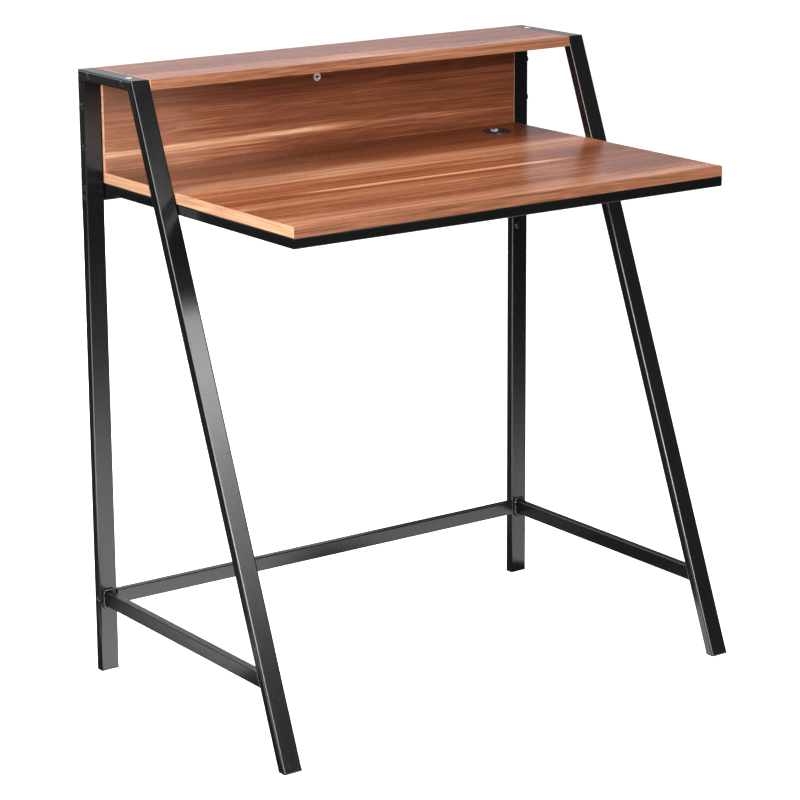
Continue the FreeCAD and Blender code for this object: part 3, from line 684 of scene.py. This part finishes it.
def plated(name, shade, rough, scratch, metal=1.0, painted_shade_from=None):
    """Plated metal with a slow stain and fine turning marks, and painted shade past an optional depth
    along Y.
    """
    finish, place = new_finish(name)
    stain = noise(place, even(160), detail=4)
    mark = noise(place, even(1800), detail=2)
    colour = stain.mix(*shades(shade, 0.85, 1.1))
    if painted_shade_from is not None:
        colour = place.axis("Y").band(painted_shade_from, painted_shade_from + RECESS_SHADE_FADE).mix(colour, RECESS_PAINTED_SHADE)
    varying = {"Base Color": colour, "Roughness": rough - 0.1 + stain * 0.2 + mark * 0.06}
    return close_finish(finish, varying, {"Metallic": metal}, mark, scratch)


SLOT_DEPTH = 0.0003
cam_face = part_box("cam_lock")[0].y
black_zinc = plated("black_zinc", (0.30, 0.30, 0.31), rough=0.22, scratch=0.00002)
bright_zinc = plated("bright_zinc", (0.62, 0.62, 0.63), rough=0.30, scratch=0.00002)
# The cam's near-white, barely metallic colour is partly painted reflection, for the shine of its zinc.
cast_zinc = plated("cast_zinc", (0.90, 0.87, 0.82), rough=0.42, scratch=0.00003,
                   metal=0.1, painted_shade_from=cam_face + SLOT_DEPTH)

# %% Place the fasteners
def seat_of(low, high, node, height):
    """Where a head sits, the way it faces and its shank's length, from the box of its solid."""
    middle = (low + high) / 2
    if node == "worktop_screws":
        return Vector((middle.x, middle.y, low.z + height)), -Z, high.z - low.z - height
    side = 1 if middle.x > 0 else -1
    outward = -side if node == "front_leg_bolts" else side
    x = high.x if outward > 0 else low.x
    return Vector((x - outward * height, middle.y, middle.z)), X * outward, high.x - low.x - height


# The dome takes HEAD_SHARE of the height that the solid head has.
HEAD_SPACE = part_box("shelf_screws")[1].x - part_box("right_top_rail")[1].x
HEAD_SHARE = 0.5
SCREW_SHANK, BOLT_SHANK = 0.002, 0.003
FLATS_PER_SHANK, SOCKET_DEPTH = 1.35, 0.0024
for seed, node in enumerate(n for n in sorted(nodes) if n.endswith(("screws", "bolts"))):
    boxes = loose_boxes(node)
    seats = [seat_of(low, high, node, HEAD_SPACE) for low, high in boxes]
    radius = (boxes[0][1].y - boxes[0][0].y) / 2
    shank = SCREW_SHANK if node == "worktop_screws" else BOLT_SHANK
    dome, flats = HEAD_SPACE * HEAD_SHARE, shank * FLATS_PER_SHANK
    mesh = head_mesh(radius, shank, dome, seats[0][2], flats, SOCKET_DEPTH)
    head = bpy.data.objects.new("head", mesh)
    scene.collection.objects.link(head)
    points = bpy.data.meshes.new("seats")
    points.from_pydata([seat for seat, _, _ in seats], [], [])
    facing = points.attributes.new("facing", "FLOAT_VECTOR", "POINT")
    for i, (_, way, _) in enumerate(seats):
        facing.data[i].vector = way
    mesh = grown(points, head_tree, {"Head": head, "Seed": seed, "Finish": black_zinc})
    bpy.data.objects.remove(head)
    add_piece(node + "_set", mesh, black_zinc, node)

# %% [markdown]
# ## Cable liner
# A glossy plastic ring lines the cable hole. It is a turned shape, so its half-section is spun round
# the hole's middle. The lip is a half round, which is where the bright crescent comes from.

# %% Turn a section round an upright axis
def turned(name, section, centre, steps=96, crease=40):
    """A closed half-section of (radius, height) points spun round Z."""
    verts, faces, count = [], [], len(section)
    for step in range(steps):
        angle = math.tau * step / steps
        for radius, z in section:
            verts.append(centre + Vector((radius * math.cos(angle), radius * math.sin(angle), z)))
    for step in range(steps):
        here, there = step * count, (step + 1) % steps * count
        for i in range(count):
            j = (i + 1) % count
            faces.append((here + i, there + i, there + j, here + j))
    mesh = bpy.data.meshes.new(name)
    mesh.from_pydata(verts, [], faces)
    shape = bmesh.new()
    shape.from_mesh(mesh)
    bmesh.ops.recalc_face_normals(shape, faces=shape.faces)
    shape.to_mesh(mesh)
    shape.free()
    mesh.shade_smooth()
    mesh.set_sharp_from_angle(angle=math.radians(crease))
    return mesh


# %% Moulded plastics
MOULD_DEPTH = 0.00002


def moulded(name, shade, rough):
    """Injection-moulded plastic with a faint flow pattern."""
    finish, place = new_finish(name)
    flow = noise(place, even(60), detail=3)
    grain = noise(place, even(1500), detail=1)
    varying = {"Base Color": flow.mix(*shades(shade, 0.7, 1.3)), "Roughness": rough - 0.05 + flow * 0.1}
    return close_finish(finish, varying, {"IOR": 1.5}, grain, MOULD_DEPTH)


gloss_plastic = moulded("gloss_black_plastic", (0.012, 0.012, 0.013), rough=0.16)
matte_plastic = moulded("matte_black_plastic", (0.014, 0.014, 0.014), rough=0.45)
white_plastic = moulded("white_plastic", (0.80, 0.80, 0.79), rough=0.35)
plug_plastic = moulded("plug_plastic", (0.004, 0.004, 0.004), rough=0.32)

# %% Section of the liner, heights from the worktop's face
BORE, SLEEVE_WALL, CHAMFER = 0.0205, 0.0014, 0.0008
FLARE, FLARE_DEEP, SHOULDER = 0.0011, 0.006, 0.4
FLARE_STEPS, LIP_STEPS = 8, 5
low, high, middle, size = box_of("cable_grommet")
sleeve, flange = BORE + SLEEVE_WALL, size.x / 2
bottom, lip = low.z - worktop_face, high.z - worktop_face
shoulder = lip * SHOULDER
quarter = [math.pi / 2 * i / LIP_STEPS for i in range(LIP_STEPS + 1)]
rises = [i / FLARE_STEPS for i in range(FLARE_STEPS + 1)]
section = [(BORE, bottom)]
section += [(BORE + FLARE * share ** 2, FLARE_DEEP * (share - 1)) for share in rises]
section += [(BORE + FLARE + lip * (1 - math.cos(a)), lip * math.sin(a)) for a in quarter[1:]]
section += [(flange - shoulder * (1 - math.sin(a)), lip - shoulder * (1 - math.cos(a))) for a in quarter]
section += [(flange, 0.0), (sleeve, 0.0), (sleeve, bottom + CHAMFER), (sleeve - CHAMFER, bottom)]
mesh = turned("cable_liner", section, Vector((middle.x, middle.y, worktop_face)))
add_piece("cable_liner", mesh, gloss_plastic, "cable_grommet")

# %% [markdown]
# ## Small fittings that keep their solid shape
# The cam lock, its dowel, the nuts, the feet and the plugs are right as they came. They only need
# their own finishes: cast zinc for the cam, bright zinc for the other fittings, black plastic for the
# feet and the leg's plug, and white plastic for the plugs on the top rails.

# %% Finishes for the fittings
finishes = {
    bright_zinc: ("cam_dowel", "front_leg_nuts", "crossbar_nut_plates", "rear_rail_nut_plates"),
    matte_plastic: [n for n in nodes if n.endswith("_foot")],
    plug_plastic: ("leg_hole_plug",),
    white_plastic: ("left_rail_plug", "right_rail_plug"),
    cast_zinc: ("cam_lock",)}
for finish, names in finishes.items():
    for node in names:
        dress(node, finish)
print("cam lock at", [round(v, 4) for v in box_of("cam_lock")[2]])

# %% [markdown]
# ## Camera
# The camera stands where the photograph was taken: to the left of the front, a little above the shelf,
# with a long lens that keeps the upright legs nearly parallel. Depth of field is off.

# %% Camera at the photograph's angle
lens = bpy.data.cameras.new("camera")
lens.sensor_width, lens.lens = 36.0, 124.712
lens.shift_x, lens.shift_y = -0.02077, -0.07882
eye = bpy.data.objects.new("camera", lens)
eye.location = (-2.29388, -3.18983, 1.46058)
eye.rotation_euler = [math.radians(a) for a in (76.271, 0.262, -35.8665)]
scene.collection.objects.link(eye)
scene.camera = eye
print("camera", [round(v, 3) for v in eye.location])

# %% [markdown]
# ## White room
# In the photograph the ground is one even white, so the desk stands in a plain white room with a round
# wall. Glossy steel mirrors whatever lies about, and a room this white would turn it grey. The room is
# therefore here for the camera alone, and light and mirrors get their own things in the next steps.

# %% A white floor with a wall all round
def stage_piece(name, mesh, finish):
    """Link a piece of the studio, which is not part of the desk."""
    mesh.materials.append(finish)
    piece = bpy.data.objects.new(name, mesh)
    scene.collection.objects.link(piece)
    return piece


def grey(level):
    """A colour without hue; above 1 it is a glow."""
    return (level, level, level, 1)


ROOM_RADIUS, ROOM_HEIGHT = 14.0, 9.0
shape = bmesh.new()
bmesh.ops.create_circle(shape, cap_ends=True, radius=ROOM_RADIUS, segments=96)
rim = [edge for edge in shape.edges if edge.is_boundary]
for part in bmesh.ops.extrude_edge_only(shape, edges=rim)["geom"]:
    if isinstance(part, bmesh.types.BMVert):
        part.co.z = ROOM_HEIGHT
paint, place = new_finish("white_paint")
cloud = noise(place, even(0.6), detail=2).mix(grey(1.0), grey(1.06))
close_finish(paint, {"Emission Color": cloud}, {"Base Color": grey(0.8), "Emission Strength": 1.0})
room = stage_piece("white_room", mesh_of(shape, "white_room"), paint)
room.visible_diffuse = room.visible_glossy = room.visible_shadow = False

# %% [markdown]
# ## Mirror cards
# A photographer steers what steel mirrors with pale cards on a dark studio floor, outside the picture.
# These cards are for mirror rays and soft light alone, so each can be moved without spoiling the
# ground. They are placed as seen from the camera: how far ahead of the desk's middle, how high, and
# from where to where across. One paper covers them all, and its tone and glow depend on the place.

# %% Directions and places of the cards
heading = eye.rotation_euler.z
ahead = Vector((-math.sin(heading), math.cos(heading), 0))
aside = Vector((math.cos(heading), math.sin(heading), 0))
eye_ahead = eye.location.dot(ahead)
print("camera heading:", round(math.degrees(heading), 2), "degrees from Y")
WALL_AT, WALL_FOOT, WALL_TOP = 2.0, 0.95, 3.4
BEND, BEND_STEPS, BEND_FIRST = 0.8, 16, 9
LEFT_SPREAD, RIGHT_SPREAD, LEFT_SPARE = 0.165, 0.16, 0.02


def card_row(f, z):
    """One row across the picture, a little wider than the camera sees at that distance."""
    far = f - eye_ahead
    return f, z, -LEFT_SPREAD * far - LEFT_SPARE, RIGHT_SPREAD * far


angles = [math.pi / 2 * i / BEND_STEPS for i in range(BEND_FIRST, BEND_STEPS + 1)]
bend = [(WALL_AT - BEND + BEND * math.sin(a), BEND - BEND * math.cos(a)) for a in angles]
bend.append((WALL_AT, WALL_FOOT))
cards = {
    "card_front_left": [(-2.8, 0, -1.6, -0.1), (-0.85, 0, -1.6, -0.1)],
    "card_front": [(-0.85, 0, -1.6, 1.6), (-0.5, 0, -1.6, 1.6)],
    "card_near": [(-0.5, 0, -0.15, 1.6), (-0.2, 0, -0.15, 1.6)],
    "card_under": [(-0.2, 0, -0.46, 1.6), (0.05, 0, -0.46, 1.6)],
    "card_right": [(0.05, 0, 0.22, 1.6), (0.45, 0, 0.22, 1.6)],
    "card_left_rail": [(-0.235, 0, -0.60, -0.49), (0.07, 0, -0.82, -0.70)],
    "card_right_rail": [(0.37, 0, -0.14, -0.02), (0.53, 0, -0.25, -0.12)],
    "card_rise": [(f, z, card_row(f, z)[2], -0.1) for f, z in bend],
    "card_wall": [card_row(WALL_AT, WALL_FOOT), card_row(WALL_AT, WALL_TOP)],
    "card_left_top": [(0.64, 0.48, -2.5, -1.6), (0.64, 0.82, -2.5, -1.6)],
    "card_over_left": [(0.2, 1.3, -2.6, -1.15), (2.2, 1.3, -2.6, -1.15)]}

# %% Where each card lies, as masks
paper, place = new_finish("white_paper")
up = place.axis("Z")
along, across = [
    place.add("ShaderNodeVectorMath", {"operation": "DOT_PRODUCT"}, {0: place, 1: way}, out="Value")
    for way in (ahead, aside)]
raised, wall = up.band(0.25, 0.50), up.band(0.85, 0.95)
left_rail = (across + along * 0.7).band(-0.60, -0.65) * along.band(-0.28, -0.26)
right_rail = across.band(0.05, -0.01) * along.band(0.30, 0.34) * along.band(0.60, 0.55)
rails = left_rail + right_rail
left_top = across.band(-1.5, -1.55) * up.band(0.40, 0.45) * up.band(1.2, 1.1)
over_left = across.band(-1.10, -1.12) * up.band(1.20, 1.25)
print("masks:", len(paper.node_tree.nodes), "nodes")

# %% Tone and glow of the paper
LOW_WALL, HIGH_WALL = (0.36, 0.355, 0.385, 1), (0.72, 0.71, 0.77, 1)
tone = across.band(0.55, 1.55).mix(grey(0.82), grey(0.06))
tone = raised.mix(tone, grey(0.45))
tone = wall.mix(tone, up.band(1.22, 1.42).mix(LOW_WALL, HIGH_WALL))
tone = rails.mix(tone, along.band(0.12, -0.20).mix(grey(0.22), grey(0.82)))
tone = left_top.mix(tone, grey(0.10))
glow = along.band(-0.55, -0.85).mix(grey(1.2), grey(2.2))
glow = across.band(-0.4, 1.0).mix(glow, grey(0.0))
glow = along.band(0.2, 0.5).mix(glow, grey(0.45))
for dark in (raised, rails):
    glow = dark.mix(glow, grey(0.0))
glow = over_left.mix(glow, grey(2.2))
varying = {"Base Color": tone, "Emission Color": glow}
close_finish(paper, varying, {"Roughness": 0.9, "Emission Strength": 1.0})

# %% Cut the cards and lay the dark floor
for name, rows in cards.items():
    verts = [ahead * f + aside * r + Z * z for f, z, left, right in rows for r in (left, right)]
    faces = [(2 * i, 2 * i + 1, 2 * i + 3, 2 * i + 2) for i in range(len(rows) - 1)]
    mesh = bpy.data.meshes.new(name)
    mesh.from_pydata(verts, [], faces)
    mesh.shade_smooth()
    card = stage_piece(name, mesh, paper)
    card.visible_camera = card.visible_shadow = False
print("cards:", len(cards))

GROUND_REACH, GROUND_DROP = 7, -0.002
concrete, place = new_finish("grey_floor")
tone = noise(place, even(2), detail=4).mix(grey(0.025), grey(0.035))
close_finish(concrete, {"Base Color": tone}, {"Roughness": 0.9})
square = ((-1, -1), (1, -1), (1, 1), (-1, 1))
corners = [(sx * GROUND_REACH, sy * GROUND_REACH, GROUND_DROP) for sx, sy in square]
mesh = bpy.data.meshes.new("ground")
mesh.from_pydata(corners, [], [(0, 1, 2, 3)])
stage_piece("ground", mesh, concrete).visible_camera = False

# %% [markdown]
# ## Studio light
# A big soft box on the left lights the board ends, and it is kept out of mirrors, where it would put
# glare on the shelf. A second one by the camera fills the fronts, one hangs above and one stands behind.
# A long low box in front lights the worktop's front edge. The two small ones in front on the right
# stand where the sloping front leg mirrors them, so that leg gets its long silver gradient, which
# stops where the leg begins to mirror the underside of the worktop.

# %% Soft boxes and sky
def soft_box(name, place, target, width, height, watts):
    """A flat light that faces a target."""
    lamp = bpy.data.lights.new(name, "AREA")
    lamp.shape, lamp.size, lamp.size_y = "RECTANGLE", width, height
    lamp.energy = watts
    holder = bpy.data.objects.new(name, lamp)
    holder.location = place
    holder.rotation_euler = (Vector(target) - Vector(place)).to_track_quat("-Z", "Y").to_euler()
    scene.collection.objects.link(holder)
    print("light:", name, watts, "W")
    return holder


DESK_MIDDLE = (0, 0, 0.7)
LEFT_LEG = (-0.4, -0.05, 0.5)
left_box = soft_box("left_box", (-3.0, -0.6, 1.9), DESK_MIDDLE, width=1.6, height=1.6, watts=122)
left_box.visible_glossy = False
soft_box("fill_box", (-1.6, -3.6, 2.1), DESK_MIDDLE, width=2.2, height=2.2, watts=140)
soft_box("edge_box", (-0.1, -2.65, 1.30), (0, 0, 0.8), width=1.6, height=0.25, watts=20)
soft_box("gleam_box", (0.75, -2.42, 1.68), LEFT_LEG, width=1.2, height=0.36, watts=11)
soft_box("gleam_low_box", (0.75, -2.42, 1.27), LEFT_LEG, width=1.2, height=0.36, watts=2.5)
soft_box("back_box", (0.6, 3.6, 0.5), (0, 0.25, 0.8), width=1.6, height=0.8, watts=60)
soft_box("top_box", (0.2, 0.2, 3.2), DESK_MIDDLE, width=2.2, height=2.2, watts=40)
sky = bpy.data.worlds.new("sky")
scene.world = sky
sky.use_nodes = True
sky.node_tree.nodes.clear()
wire = Wire(sky.node_tree)
glow = wire.add("ShaderNodeBackground", None, {"Color": grey(1), "Strength": 0.08})
wire.add("ShaderNodeOutputWorld", None, {"Surface": glow})
scene.view_settings.view_transform = "Standard"
